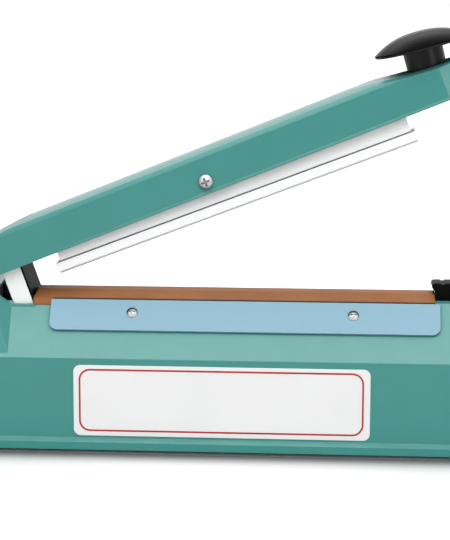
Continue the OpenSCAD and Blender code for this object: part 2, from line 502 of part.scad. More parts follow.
// wide chamfers beside the pad, one along each of its slopes
module pad_edges() for (i = [0, 1])
  let (a = pad_edge[i], b = pad_edge[i + 1], f = atan((b[1] - a[1]) / (a[0] - b[0]))) both_y()
    intersection() {
      box(i == 0 ? b[0] : b[0] - 20, i == 0 ? a[0] + 5 : a[0], -40, 0, -10, 40);
      translate([a[0], -arm_w / 2, a[1]]) rotate([0, f, 0]) rotate([atan(0.24 * cos(f)), 0, 0])
        translate([-60, -10, 0]) cube([80, 30, 20]);
    }
module arm_cover() color([0.31, 0.57, 0.54]) in_arm() difference() {
  union() {
    intersection() {
      xz_prism(-40, 40) polygon(arm_side);
      yz_prism(arm_u0 - 5, arm_u1 + 5) polygon(concat(half_arm, [[0, arm_top]],
        [for (i = [len(half_arm) - 1:-1:0]) [-half_arm[i][0], half_arm[i][1]]]));
      translate([0, 0, -30]) linear_extrude(80) 
        polygon(arm_plan(arm_u0 - 0.1, arm_u1 + 0.1, arm_w + 0.2, 5, 12, 2));
    }
    // bead along the lower edge
    intersection() {
      box(30, arm_u1 + 5, -40, 40, arm_low, arm_low + 0.8);
      translate([0, 0, -30]) linear_extrude(60) polygon(arm_plan(0, arm_u1 + 0.5, arm_w + 1, 5, 12.5, 2));
    }
    intersection() {
      box(30, arm_u1 + 5, -40, 40, arm_low, arm_low + 1.4);
      translate([0, 0, -30]) linear_extrude(60) polygon(arm_plan(0, arm_u1 + 0.25, arm_w + 0.5, 5, 12.25, 2));
    }
  }
  difference() {
    intersection() {
      translate([0, 0, -e]) xz_prism(-arm_in, arm_in) polygon(arm_hollow);
      translate([0, 0, -30]) linear_extrude(80)
        polygon(arm_plan(arm_u0 + 1.6, arm_u1 - 1.6, 2 * arm_in, 3.4, 10.4));
    }
    // post that carries the knob down to the frame
    translate([knob_u, 0, pad_w]) rotate([0, pad_a, 0]) translate([0, 0, -2.2]) cylinder(r = 7, h = 2);
  }
  translate([knob_u, 0, pad_w]) rotate([0, pad_a, 0]) {
    translate([0, 0, -20]) cylinder(r = 3.1, h = 40);
    translate([0, 0, pad_foot]) cylinder(r = stem_d / 2 + 0.35, h = 5);
  }
  rocker_axis() ycyl(0, 0, 2.1, -30, 30);
  pad_edges();
}
// centre of the press bar's screw in the arm's frame
rocker_u = (pin_x - hinge_x) * cos(nose) + (pin_z - hinge_z) * sin(nose);
rocker_w = -(pin_x - hinge_x) * sin(nose) + (pin_z - hinge_z) * cos(nose);
module rocker_axis() translate([rocker_u, 0, rocker_w]) children();
web_w = 3.4;
cheek_w = 5;
module arm_frame() color([0.85, 0.86, 0.87]) in_arm() difference() {
  union() {
    box(9, arm_u1 - 8, -frame_y, frame_y, web_w, web_w + 1.5);
    both_y() box(-12, arm_u1 - 8, leg_y, frame_y, -6.2, cheek_w);
    both_y() box(-21, -11.9, leg_y, frame_y, -1.4, cheek_w);
  }
  ycyl(0, 0, 3.06, -30, 30);
  ycyl(tail_u, tail_w, 1.75, -30, 30);
  rotate([0, nose - leg_lean, 0]) both_y() for (w = [-4.4, 3.2]) ycyl(-4.6, w, 0.9, -30, -5);
  rocker_axis() ycyl(0, 0, 2.1, -30, 30);
  translate([knob_u, 0, pad_w]) rotate([0, pad_a, 0]) translate([0, 0, -20]) cylinder(r = 3.1, h = 40);
}
// plated channel that hangs from the arm into the slot of the base
module arm_leg() color([0.95, 0.95, 0.95]) in_leg() difference() {
  union() {
    both_y() box(-5.85, 4.1, leg_y - 1.7, leg_y, -32, cheek_w - 0.5);
    box(2.9, 4.1, -leg_y + 1.6, leg_y - 1.6, -32, -10);
  }
  ycyl(0, 0, 3.06, -30, 30);
  both_y() for (w = [-4.4, 3.2]) ycyl(-4.6, w, 0.9, -30, -5);
}
module leg_guard() color([0.05, 0.05, 0.05]) in_leg()
  box(4.1, 5.1, -leg_y + 0.4, leg_y - 0.4, -29, -8);
module leg_rivets() color([0.8, 0.8, 0.82]) in_leg() both_y() for (w = [-4.4, 3.2]) {
  ycyl(-4.6, w, 0.9, -frame_y, -leg_y + 1.7);
  ycyl(-4.6, w, 1.2, -leg_y + 1.7, -leg_y + 2);
}
module tail_pin() color([0.8, 0.8, 0.82]) in_arm() ycyl(tail_u, tail_w, 1.75, -frame_y, frame_y);

// mushroom handle
cap_r = knob_d / 2;
stem_h = 12;
knob_pts = concat([[0, pad_foot], [stem_d / 2 - 0.4, pad_foot], [stem_d / 2, pad_foot + 0.4], [stem_d / 2 + 0.2, stem_h]],
  [[cap_r * 0.88, stem_h - 0.1]], arc(cap_r - 1, stem_h + 0.9, 1, -60, 50, 6),
  [for (i = [1:12]) let (t = 1 - i / 12) [(cap_r - 0.36) * t, stem_h + 1.68 + 7.1 * (1 - pow(t, 2.4))]]);
module handle_knob() color([0.05, 0.05, 0.05]) on_pad() difference() {
  rotate_extrude() polygon(knob_pts);
  translate([0, 0, -1]) cylinder(r = 3, h = stem_h + 1);
}
module handle_bolt() color([0.75, 0.75, 0.76]) on_pad() translate([0, 0, -10.8]) cylinder(r = 3, h = stem_h + 10.7);
module handle_nut() color([0.75, 0.75, 0.76]) on_pad() difference() {
  translate([0, 0, -10]) cylinder(r = 5.7, h = 4.4, $fn = 6);
  translate([0, 0, -13]) cylinder(r = 3, h = 9);
}
// screw on which the press bar rocks
module rocker_screw() color([0.78, 0.78, 0.8]) in_arm() rocker_axis() {
  difference() {
    intersection() {
      ycyl(0, 0, 3.75, -arm_w / 2 - 2.4, -arm_w / 2);
      translate([0, -arm_w / 2 + 2.6, 0]) sphere(r = 5.2);
    }
    box(-2.3, 2.3, -arm_w / 2 - 3, -arm_w / 2 - 0.9, -0.5, 0.5);
    box(-0.5, 0.5, -arm_w / 2 - 3, -arm_w / 2 - 0.9, -2.3, 2.3);
  }
  ycyl(0, 0, 2, -arm_w / 2 - 0.1, arm_w / 2 + 3.4);
}
module rocker_nut() color([0.75, 0.75, 0.76]) in_arm() rocker_axis() difference() {
  translate([0, arm_w / 2 + 3, 0]) rotate([90, 0, 0]) cylinder(r = 4, h = 3, $fn = 6);
  ycyl(0, 0, 2, arm_w / 2 - 1, arm_w / 2 + 4);
}
module rocker_sleeves() color([0.93, 0.93, 0.9]) in_arm() rocker_axis() both_y() difference() {
  ycyl(0, 0, 3.6, -leg_y, -7.4);
  ycyl(0, 0, 2, -30, 0);
}
// press bar: aluminium rail with a groove, and the strip set in its foot
module press_rail() color([0.83, 0.84, 0.85]) in_bar() difference() {
  union() {
    yz_prism(bar_s0, bar_s1) polygon([[-6, -19], [-8, -19], [-8, -14.2], [8, -14.2], [8, -19], [6, -19],
      [6, -17.8], [-6, -17.8]]);
    yz_prism(bar_s0 + 2.8, bar_s1 - 2) polygon([[-4, -14.3], [4, -14.3], [4, -13.6], [7, -13.6], [7, -3], [5, -3],
      [5, -11.4], [-5, -11.4], [-5, -3], [-7, -3], [-7, -13.6], [-4, -13.6]]);
    both_y() xz_prism(5, 7) polygon([[-12, -3.1], [12, -3.1], [6, 3.6], [-6, 3.6]]);
  }
  ycyl(0, 0, 2.06, -30, 30);
}
module press_strip() color([0.88, 0.88, 0.87]) in_bar()
  box(bar_s0 + 0.3, bar_s1 - 0.3, -6, 6, -rail_drop, -17.8);

base_housing();
bottom_plate();
rubber_feet();
bottom_screws();
hinge_bracket();
hinge_pin();
hinge_washers();
bracket_screws();
spring_anchor();
return_spring();
seal_bar();
insulating_strip();
heating_ribbon();
release_cloth();
clamp_plate_front();
clamp_plate_rear();
clamp_screws();
terminal_block();
terminal_screw();
terminal_tab();
transformer_core();
transformer_bobbin();
primary_winding();
secondary_winding();
transformer_strap();
transformer_screws();
timer_board();
board_posts();
timer_relay();
timing_capacitor();
potentiometer();
dial_shaft();
dial_nut();
timer_dial();
scale_plate();
indicator_lens();
lamp_holder();
switch_body();
switch_plunger();
switch_screws();
cord_bush();
arm_cover();
arm_frame();
arm_leg();
leg_guard();
leg_rivets();
tail_pin();
handle_knob();
handle_bolt();
handle_nut();
rocker_screw();
rocker_nut();
rocker_sleeves();
press_rail();
press_strip();
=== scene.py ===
# %% [markdown]
# # Dressing a hand impulse sealer
# The machine is a long teal body with a lever arm on a hinge. The solids of every piece are
# already built and packed, and this lesson only dresses them: finishes for each material, and
# the few thin pieces that a solid model leaves out, such as the label plate, the release cloth
# and the marks round the timer dial.
# All lengths are metres, X runs from the hinge to the handle, the front faces -Y, Z is up.

# %% Load the fixed frame
import json
import math
import bmesh
import bpy
from mathutils import Matrix, Vector


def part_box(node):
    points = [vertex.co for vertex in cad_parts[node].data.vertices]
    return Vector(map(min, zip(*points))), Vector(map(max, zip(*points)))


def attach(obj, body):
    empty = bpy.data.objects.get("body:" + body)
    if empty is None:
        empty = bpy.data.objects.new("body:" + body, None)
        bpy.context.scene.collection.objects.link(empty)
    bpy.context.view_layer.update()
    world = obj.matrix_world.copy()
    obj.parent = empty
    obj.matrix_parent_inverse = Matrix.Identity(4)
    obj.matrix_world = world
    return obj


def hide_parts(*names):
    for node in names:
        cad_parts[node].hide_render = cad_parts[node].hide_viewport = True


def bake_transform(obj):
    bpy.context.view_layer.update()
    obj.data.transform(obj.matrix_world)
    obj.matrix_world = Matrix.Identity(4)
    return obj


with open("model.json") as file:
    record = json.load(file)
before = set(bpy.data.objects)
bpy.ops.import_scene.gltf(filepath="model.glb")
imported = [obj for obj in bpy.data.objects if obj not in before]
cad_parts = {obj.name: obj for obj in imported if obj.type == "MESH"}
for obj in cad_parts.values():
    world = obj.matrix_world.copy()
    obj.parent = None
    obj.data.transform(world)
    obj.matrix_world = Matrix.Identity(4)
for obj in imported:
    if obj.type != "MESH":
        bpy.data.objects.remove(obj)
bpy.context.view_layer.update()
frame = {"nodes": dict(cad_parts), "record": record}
NODES = frame["nodes"]

# %% [markdown]
# ## The camera
# The photograph was taken from slightly right of the middle and a little above, with a long
# lens. The angles come from lines that are level on the real body: a camera 4 degrees to the
# right and 11 degrees up makes all of them level. The frame is 450 by 540, so the sensor width
# lies along the height.

# %% Camera at the photograph's angle
CAMERA_TARGET, CAMERA_DISTANCE = (0.002, 0, 0.091), 0.905
CAMERA_TURN, CAMERA_LIFT = math.radians(4), math.radians(11)
LENS_MM, SENSOR_MM = 112.67, 36.0


def show(obj):
    bpy.context.scene.collection.objects.link(obj)
    return obj


def photo_camera():
    level = math.cos(CAMERA_LIFT)
    back = Vector((math.sin(CAMERA_TURN) * level, -math.cos(CAMERA_TURN) * level, math.sin(CAMERA_LIFT)))
    cam = show(bpy.data.objects.new("photo_camera", bpy.data.cameras.new("photo_camera")))
    cam.data.lens = LENS_MM
    cam.data.sensor_width = SENSOR_MM
    cam.location = Vector(CAMERA_TARGET) + back * CAMERA_DISTANCE
    cam.rotation_euler = (-back).to_track_quat("-Z", "Y").to_euler()
    bpy.context.scene.camera = cam
    return cam


camera = photo_camera()
print("camera at", [round(v, 3) for v in camera.location])

# %% [markdown]
# ## Shared effects
# Real surfaces share a few effects: paint thins on corners, mouldings have a fine skin, drawn
# metal has lines along its length, dust settles on what faces up. Each effect is one node group
# that puts out a mask or a height, so that every finish can use it with its own strength.

# %% Small helpers for nodes
def effect_group(name, inputs, outputs):
    """A shader group: inputs by name and default value, outputs by name."""
    tree = bpy.data.node_groups.new(name, "ShaderNodeTree")
    for label, default in inputs.items():
        kind = "NodeSocketVector" if isinstance(default, tuple) else "NodeSocketFloat"
        tree.interface.new_socket(label, in_out="INPUT", socket_type=kind).default_value = default
    for label in outputs:
        tree.interface.new_socket(label, in_out="OUTPUT", socket_type="NodeSocketFloat")
    return tree, tree.nodes.new("NodeGroupInput"), tree.nodes.new("NodeGroupOutput")


def plug(tree, value, socket):
    """A number or a colour is set on the socket, and another node's output is linked to it."""
    if isinstance(value, (int, float)):
        socket.default_value = value
    elif isinstance(value, tuple):
        socket.default_value = (*value, 1.0)
    else:
        tree.links.new(value, socket)


def math_node(tree, op, a, b=None, clamp=False):
    n = tree.nodes.new("ShaderNodeMath")
    n.operation = op
    n.use_clamp = clamp
    plug(tree, a, n.inputs[0])
    if b is not None:
        plug(tree, b, n.inputs[1])
    return n.outputs[0]


def vector_node(tree, op, a, b=None):
    n = tree.nodes.new("ShaderNodeVectorMath")
    n.operation = op
    tree.links.new(a, n.inputs[0])
    if isinstance(b, tuple):
        n.inputs[1].default_value = b
    elif b is not None:
        tree.links.new(b, n.inputs[1])
    return n


def noise_node(tree, vector, scale, detail, rough):
    n = tree.nodes.new("ShaderNodeTexNoise")
    n.inputs["Detail"].default_value = detail
    n.inputs["Roughness"].default_value = rough
    plug(tree, scale, n.inputs["Scale"])
    tree.links.new(vector, n.inputs["Vector"])
    return n.outputs["Fac"]


def coords(tree, kind="Object"):
    return tree.nodes.new("ShaderNodeTexCoord").outputs[kind]


def face_normal(tree):
    return tree.nodes.new("ShaderNodeNewGeometry").outputs["Normal"]


def split_xyz(tree, vector):
    n = tree.nodes.new("ShaderNodeSeparateXYZ")
    tree.links.new(vector, n.inputs[0])
    return n.outputs


print("helpers ready")

# %% [markdown]
# ### Edge wear and painted edge highlight
# A rounded normal differs from the flat one only near an edge. One minus their dot product is
# therefore an edge mask, and noise breaks it up so that the pale edge isn't an even line. The pale
# edge is partly wear and partly a painted highlight where a rounded edge catches the light.

# %% Edge wear and highlight group
def make_edge_wear():
    tree, gin, gout = effect_group("edge_wear_and_highlight", {"Radius": 0.0012, "Breakup": 160.0}, ["Mask"])
    bevel = tree.nodes.new("ShaderNodeBevel")
    bevel.samples = 4
    tree.links.new(gin.outputs["Radius"], bevel.inputs["Radius"])
    same = vector_node(tree, "DOT_PRODUCT", bevel.outputs[0], face_normal(tree))
    edge = math_node(tree, "SUBTRACT", 1.0, same.outputs["Value"], True)
    spots = noise_node(tree, coords(tree), gin.outputs["Breakup"], 3.0, 0.6)
    worn_and_highlit = math_node(tree, "MULTIPLY", math_node(tree, "MULTIPLY", edge, 6.0, True), spots, True)
    tree.links.new(worn_and_highlit, gout.inputs["Mask"])
    return tree


EDGE_WEAR_AND_HIGHLIGHT = make_edge_wear()
print("group:", EDGE_WEAR_AND_HIGHLIGHT.name)

# %% [markdown]
# ### Painted shade in corners
# The share of directions that are blocked within a short distance is a mask for recesses, where
# shade is painted. Leaving out what the piece itself blocks gives a second mask, for places that
# another piece hangs over, where its shadow is painted.

# %% Corner shade group
def make_corners():
    tree, gin, gout = effect_group("corner_shade", {"Distance": 0.001}, ["Recess", "Under"])
    free = {}
    for own in (True, False):
        n = tree.nodes.new("ShaderNodeAmbientOcclusion")
        n.samples = 8
        n.only_local = own
        tree.links.new(gin.outputs["Distance"], n.inputs["Distance"])
        free[own] = n.outputs["AO"]
    tree.links.new(math_node(tree, "SUBTRACT", 1.0, free[True], True), gout.inputs["Recess"])
    tree.links.new(math_node(tree, "SUBTRACT", free[True], free[False], True), gout.inputs["Under"])
    return tree


CORNERS = make_corners()
print("group:", CORNERS.name)

# %% [markdown]
# ### Moulded skin and settled dust
# The skin is a fine noise for the bump, with a slower one for patches of more and less gloss.
# Dust is strongest on faces that look up, and is patchy as well.

# %% Skin and dust groups
def make_skin():
    tree, gin, gout = effect_group("moulded_skin", {"Scale": 900.0}, ["Height", "Patches"])
    place, scale = coords(tree), gin.outputs["Scale"]
    tree.links.new(noise_node(tree, place, scale, 2.0, 0.55), gout.inputs["Height"])
    slow = noise_node(tree, place, math_node(tree, "MULTIPLY", scale, 0.04), 3.0, 0.5)
    tree.links.new(slow, gout.inputs["Patches"])
    return tree


def make_dust():
    tree, gin, gout = effect_group("settled_dust", {"Scale": 60.0}, ["Mask"])
    rise = split_xyz(tree, face_normal(tree))["Z"]
    up = math_node(tree, "MULTIPLY", math_node(tree, "ADD", rise, -0.2), 1.2, True)
    spots = noise_node(tree, coords(tree), gin.outputs["Scale"], 4.0, 0.6)
    tree.links.new(math_node(tree, "MULTIPLY", up, spots, True), gout.inputs["Mask"])
    return tree


SKIN, DUST = make_skin(), make_dust()
print("groups:", SKIN.name, DUST.name)

# %% [markdown]
# ### Draw lines and weave
# Drawn or brushed metal is noise that is squeezed across the grain and stretched along it.
# A plain weave is two waves at right angles, one lifted where the other dips.

# %% Line and weave groups
ALONG_X = (12.0, 1500.0, 1500.0)


def make_lines():
    tree, gin, gout = effect_group("draw_lines", {"Grain": ALONG_X}, ["Lines"])
    stretched = vector_node(tree, "MULTIPLY", coords(tree), gin.outputs["Grain"])
    tree.links.new(noise_node(tree, stretched.outputs[0], 1.0, 3.0, 0.6), gout.inputs["Lines"])
    return tree


def make_weave():
    tree, gin, gout = effect_group("plain_weave", {"Pitch": 0.0009}, ["Height", "Shade"])
    cut = coords(tree, "UV")
    across = split_xyz(tree, cut)
    turns = math_node(tree, "DIVIDE", 2 * math.pi, gin.outputs["Pitch"])
    warp, weft = (math_node(tree, "SINE", math_node(tree, "MULTIPLY", across[axis], turns)) for axis in "XY")
    cross = math_node(tree, "MULTIPLY", warp, weft)
    tree.links.new(cross, gout.inputs["Height"])
    slow = noise_node(tree, cut, 35.0, 4.0, 0.6)
    shade = math_node(tree, "ADD", math_node(tree, "MULTIPLY", cross, 0.12), slow)
    tree.links.new(shade, gout.inputs["Shade"])
    return tree


LINES, WEAVE = make_lines(), make_weave()
print("groups:", LINES.name, WEAVE.name)

# %% [markdown]
# ## Finishes
# Every finish keeps its own Principled shader. The groups only steer its colour, roughness, gloss
# and bump. A value that is the same all over the surface is set on the shader's own socket.

# %% Helpers for a finish
def start_finish(name, metallic=0.0, specular=0.5, coat=0.0):
    mat = bpy.data.materials.new(name)
    mat.use_nodes = True
    bsdf = mat.node_tree.nodes["Principled BSDF"]
    bsdf.inputs["Metallic"].default_value = metallic
    bsdf.inputs["Specular IOR Level"].default_value = specular
    bsdf.inputs["Coat Weight"].default_value = coat
    return mat, mat.node_tree, bsdf


def place_group(tree, group, **values):
    n = tree.nodes.new("ShaderNodeGroup")
    n.node_tree = group
    for label, v in values.items():
        n.inputs[label].default_value = v
    return n


def mix_colour(tree, fac, a, b):
    n = tree.nodes.new("ShaderNodeMix")
    n.data_type = "RGBA"
    # sockets 6 and 7 are the two colours, and output 2 is their mix
    for value, number in ((fac, 0), (a, 6), (b, 7)):
        plug(tree, value, n.inputs[number])
    return n.outputs[2]


def ramp(tree, value, low, high, start=0.0, end=1.0):
    """Values from start to end become low to high, and stop there."""
    n = tree.nodes.new("ShaderNodeMapRange")
    for label, v in (("From Min", start), ("From Max", end), ("To Min", low), ("To Max", high)):
        n.inputs[label].default_value = v
    tree.links.new(value, n.inputs["Value"])
    return n.outputs[0]


def curve(tree, value, stops):
    """Straight lines through pairs of a value and its level."""
    n = tree.nodes.new("ShaderNodeValToRGB")
    points = n.color_ramp.elements
    points[0].position, points[1].position = stops[0][0], stops[-1][0]
    for place, _ in stops[1:-1]:
        points.new(place)
    for point, (_, level) in zip(points, stops):
        point.color = (level, level, level, 1.0)
    tree.links.new(value, n.inputs["Fac"])
    return n.outputs["Color"]


def dress(tree, bsdf, colour, rough):
    tree.links.new(colour, bsdf.inputs["Base Color"])
    tree.links.new(rough, bsdf.inputs["Roughness"])


def bump(tree, bsdf, height, distance, strength, rounded=0.0):
    n = tree.nodes.new("ShaderNodeBump")
    n.inputs["Distance"].default_value = distance
    n.inputs["Strength"].default_value = strength
    tree.links.new(height, n.inputs["Height"])
    if rounded:
        soft = tree.nodes.new("ShaderNodeBevel")
        soft.samples = 6
        soft.inputs["Radius"].default_value = rounded
        tree.links.new(soft.outputs[0], n.inputs["Normal"])
    tree.links.new(n.outputs[0], bsdf.inputs["Normal"])


def lighter(colour, share):
    return tuple(min(1.0, v + (1.0 - v) * share) for v in colour)


def times(colour, factor):
    return tuple(min(1.0, v * factor) for v in colour)


print("finish helpers ready")

# %% [markdown]
# ### Paint, plastic and rubber
# Enamel on a casting and moulded plastic differ in gloss and in how their edges turn paler: a
# thinner coat on enamel, a polished edge on plastic, and on both partly a painted highlight along
# the rounded edge. One function makes both. Where a finish has a roof height, its sheen is turned
# down below a piece that hangs over it that closely, a painted shade, and dust settles there less.

# %% Painted and moulded finishes
DUST_COLOUR = (0.75, 0.74, 0.72)
UNDER_GAIN = 1.6        # a piece overhead never blocks every direction


def coated(name, colour, rough, skin_scale, skin_depth, wear_and_shine, dust, round_edge, specular=0.5, roof=0.0):
    mat, tree, bsdf = start_finish(name, 0.0, specular)
    skin = place_group(tree, SKIN, Scale=skin_scale)
    patches = skin.outputs["Patches"]
    body = mix_colour(tree, ramp(tree, patches, 0.0, 0.5), times(colour, 0.93), times(colour, 1.12))
    # paler edges: partly wear, partly a painted highlight along rounded edges
    edges = place_group(tree, EDGE_WEAR_AND_HIGHLIGHT, Radius=max(round_edge, 0.0006), Breakup=180.0).outputs["Mask"]
    worn_and_highlit = mix_colour(tree, math_node(tree, "MULTIPLY", edges, wear_and_shine, True), body, lighter(colour, 0.45))
    film = place_group(tree, DUST, Scale=70.0).outputs["Mask"]
    # painted shade: less sheen below a piece that hangs over this one; dust settles there less too
    if roof:
        under = place_group(tree, CORNERS, Distance=roof).outputs["Under"]
        covered = math_node(tree, "MULTIPLY", under, UNDER_GAIN, True)
        open_sky = math_node(tree, "SUBTRACT", 1.0, covered, True)
        tree.links.new(ramp(tree, open_sky, 0.0, specular), bsdf.inputs["Specular IOR Level"])
        film = math_node(tree, "MULTIPLY", film, open_sky)
    dusty = mix_colour(tree, math_node(tree, "MULTIPLY", film, dust, True), worn_and_highlit, DUST_COLOUR)
    dress(tree, bsdf, dusty, ramp(tree, patches, rough - 0.06, rough + 0.08))
    bump(tree, bsdf, skin.outputs["Height"], skin_depth, 0.4, round_edge)
    return mat


# colour, roughness, skin scale and depth, edge wear and painted edge highlight, dust, edge radius, specular level,
# roof height
COATED = {
    "teal_enamel": ((0.055, 0.255, 0.232), 0.2, 1100.0, 0.00002, 0.32, 0.11, 0.0006, 0.28, 0.03),
    "blue_enamel": ((0.2, 0.36, 0.46), 0.36, 1300.0, 0.000012, 0.8, 0.0, 0.0004, 0.25),
    "white_plate": ((0.93, 0.93, 0.93), 0.42, 1300.0, 0.00001, 0.1, 0.08, 0.0004),
    "black_plastic": ((0.003, 0.003, 0.003), 0.35, 1600.0, 0.00002, 0.03, 0.0, 0.0004, 0.03),
    "black_rubber": ((0.02, 0.02, 0.02), 0.72, 1500.0, 0.00005, 0.1, 0.12, 0.0004, 0.3),
    "white_nylon": ((0.8, 0.79, 0.75), 0.5, 1200.0, 0.00001, 0.05, 0.06, 0.0003),
    "ivory_insulation": ((0.66, 0.6, 0.44), 0.55, 1500.0, 0.00003, 0.1, 0.08, 0.0003),
    "board_green": ((0.012, 0.085, 0.03), 0.3, 900.0, 0.00001, 0.3, 0.1, 0.0003),
    "relay_blue": ((0.01, 0.045, 0.2), 0.35, 900.0, 0.00001, 0.15, 0.08, 0.0004),
    "black_sleeve": ((0.018, 0.018, 0.025), 0.3, 900.0, 0.00001, 0.15, 0.08, 0.0004),
    "scale_white": ((0.82, 0.82, 0.79), 0.35, 1200.0, 0.00001, 0.1, 0.05, 0.0003),
    "red_button": ((0.07, 0.008, 0.008), 0.4, 900.0, 0.00001, 0.1, 0.03, 0.0003),
    "white_silicone": ((0.78, 0.78, 0.77), 0.55, 1400.0, 0.00002, 0.05, 0.05, 0.0004, 0.35),
    "label_white": ((0.79, 0.79, 0.79), 0.33, 800.0, 0.000008, 0.05, 0.03, 0.0002),
    "label_red": ((0.4, 0.01, 0.012), 0.4, 900.0, 0.000005, 0.0, 0.02, 0.0001),
    "mark_black": ((0.015, 0.015, 0.016), 0.45, 900.0, 0.000005, 0.0, 0.02, 0.0001),
    "mark_white": ((0.85, 0.85, 0.85), 0.4, 900.0, 0.000005, 0.0, 0.02, 0.0001),
}
FINISH = {name: coated(name, *row) for name, row in COATED.items()}
print("coated finishes:", len(FINISH))

# %% [markdown]
# ### Metals
# The rail and the seal bar are extruded, so their lines run along X, and they are darkened below
# a piece that hangs over them, a painted shadow. Fasteners are turned and plated: short fine
# scratches all over, painted shade in their recesses, and a dark rim, a painted reflection of the
# dark room, where a polished head turns away. The wire and ribbon get lines along their own length.

# %% Metal finishes
# dark colour for painted shade in recesses, painted shadow below other pieces and painted dark reflection on rims
PAINTED_DARK = (0.03, 0.03, 0.03)


def metal(name, colour, rough, grain=ALONG_X, recess=0.0, under=0.0, rim=False):
    mat, tree, bsdf = start_finish(name, 1.0)
    lines = place_group(tree, LINES, Grain=grain).outputs["Lines"]
    body = mix_colour(tree, ramp(tree, lines, 0.0, 1.0), times(colour, 0.86), lighter(colour, 0.12))
    # paler edges: partly wear, partly a painted highlight
    edges = place_group(tree, EDGE_WEAR_AND_HIGHLIGHT, Radius=0.0004, Breakup=300.0).outputs["Mask"]
    shown = mix_colour(tree, math_node(tree, "MULTIPLY", edges, 0.2, True), body, lighter(colour, 0.4))
    # painted shade: darker in recesses
    if recess:
        shown = mix_colour(tree, place_group(tree, CORNERS, Distance=recess).outputs["Recess"], shown, PAINTED_DARK)
    # painted shadow: darker below another piece that hangs over this one
    if under:
        shade = place_group(tree, CORNERS, Distance=under).outputs["Under"]
        shown = mix_colour(tree, math_node(tree, "MULTIPLY", shade, UNDER_GAIN, True), shown, PAINTED_DARK)
    # painted reflection: a dark rim where the face turns away from the viewer
    if rim:
        facing = tree.nodes.new("ShaderNodeLayerWeight").outputs["Facing"]
        shown = mix_colour(tree, ramp(tree, facing, 0.0, 1.0, 0.2, 0.45), shown, PAINTED_DARK)
    dress(tree, bsdf, shown, ramp(tree, lines, rough - 0.07, rough + 0.14))
    bump(tree, bsdf, lines, 0.000006, 0.35, 0.0003)
    return mat


# colour, roughness, grain, distance for painted shade in recesses, distance of what hangs over it for its painted
# shadow, painted dark rim
METAL = {
    "mill_aluminium": ((0.87, 0.875, 0.88), 0.48, ALONG_X, 0.0, 0.012),
    "zinc_steel": ((0.42, 0.43, 0.44), 0.4, (300.0, 300.0, 300.0)),
    "bright_steel": ((0.46, 0.46, 0.47), 0.46, (700.0, 700.0, 700.0), 0.0009, 0.0, True),
    "spring_steel": ((0.42, 0.43, 0.45), 0.33, (900.0, 900.0, 200.0)),
    "nichrome": ((0.4, 0.38, 0.35), 0.4, (30.0, 2500.0, 2500.0)),
    "terminal_brass": ((0.78, 0.58, 0.24), 0.3, (500.0, 500.0, 500.0)),
    "core_steel": ((0.16, 0.16, 0.17), 0.5, (10.0, 2000.0, 10.0)),
}
FINISH.update({name: metal(name, *row) for name, row in METAL.items()})
print("finishes so far:", len(FINISH))

# %% [markdown]
# ### Windings, lens, handle and cloth
# Enamelled wire shows as fine level lines with a warm gloss. The lamp lens is tinted and lets
# light through. The handle is black, and palms polish it smoother towards its crown. Its sheen
# follows how far a face looks along the handle's own axis: some on the stem, none on the rim and
# lower dome, a little on the crown; this sheen is a painted reflection, none where a face would
# mirror a dark room. The release cloth is glass weave under a brown non-stick coat: a visible
# weave, slightly blotchy, with a dull sheen. A thin dark line where it goes under the plates is a
# painted shadow of the gap there, so the colour darkens with the distance from the middle of the
# cloth's own cut.

# %% Four special finishes
def wound_wire(name):
    mat, tree, bsdf = start_finish(name, 0.0, 0.6, 0.5)
    lines = place_group(tree, LINES, Grain=(6.0, 6.0, 2600.0)).outputs["Lines"]
    copper = mix_colour(tree, ramp(tree, lines, 0.0, 1.0), (0.16, 0.035, 0.01), (0.62, 0.25, 0.09))
    dress(tree, bsdf, copper, ramp(tree, lines, 0.22, 0.45))
    bump(tree, bsdf, lines, 0.0001, 0.7)
    return mat


def tinted_lens(name):
    mat, tree, bsdf = start_finish(name)
    bsdf.inputs["Transmission Weight"].default_value = 0.45
    bsdf.inputs["IOR"].default_value = 1.49
    skin = place_group(tree, SKIN, Scale=700.0)
    patches = skin.outputs["Patches"]
    red = mix_colour(tree, ramp(tree, patches, 0.0, 1.0), (0.5, 0.012, 0.008), (0.7, 0.03, 0.02))
    dress(tree, bsdf, red, ramp(tree, patches, 0.08, 0.2))
    bump(tree, bsdf, skin.outputs["Height"], 0.00001, 0.3, 0.0004)
    return mat


HANDLE_LEAN = math.radians(20.4)
HANDLE_AXIS = (-math.sin(HANDLE_LEAN), 0.0, math.cos(HANDLE_LEAN))
# painted reflection: sheen levels by how far a face looks along the handle's axis
HANDLE_PAINTED_SHEEN = ((0.1, 0.2), (0.25, 0.0), (0.72, 0.0), (1.0, 0.05))


def handle_moulding(name):
    mat, tree, bsdf = start_finish(name)
    skin = place_group(tree, SKIN, Scale=1000.0)
    up = vector_node(tree, "DOT_PRODUCT", coords(tree, "Normal"), HANDLE_AXIS).outputs["Value"]
    tree.links.new(curve(tree, up, HANDLE_PAINTED_SHEEN), bsdf.inputs["Specular IOR Level"])
    black = mix_colour(tree, ramp(tree, skin.outputs["Patches"], 0.0, 1.0),
                       (0.002, 0.002, 0.002), (0.004, 0.004, 0.004))
    dress(tree, bsdf, black, ramp(tree, up, 0.36, 0.2))
    bump(tree, bsdf, skin.outputs["Height"], 0.00001, 0.4, 0.0005)
    return mat


CLOTH_MIDDLE = 0.01853      # half of the cloth's cut width
GRIP_LINE = (0.0047, 0.0042)    # where the painted gap shadow starts and is full, from the cut edge
PLATE_INSET = 0.0006


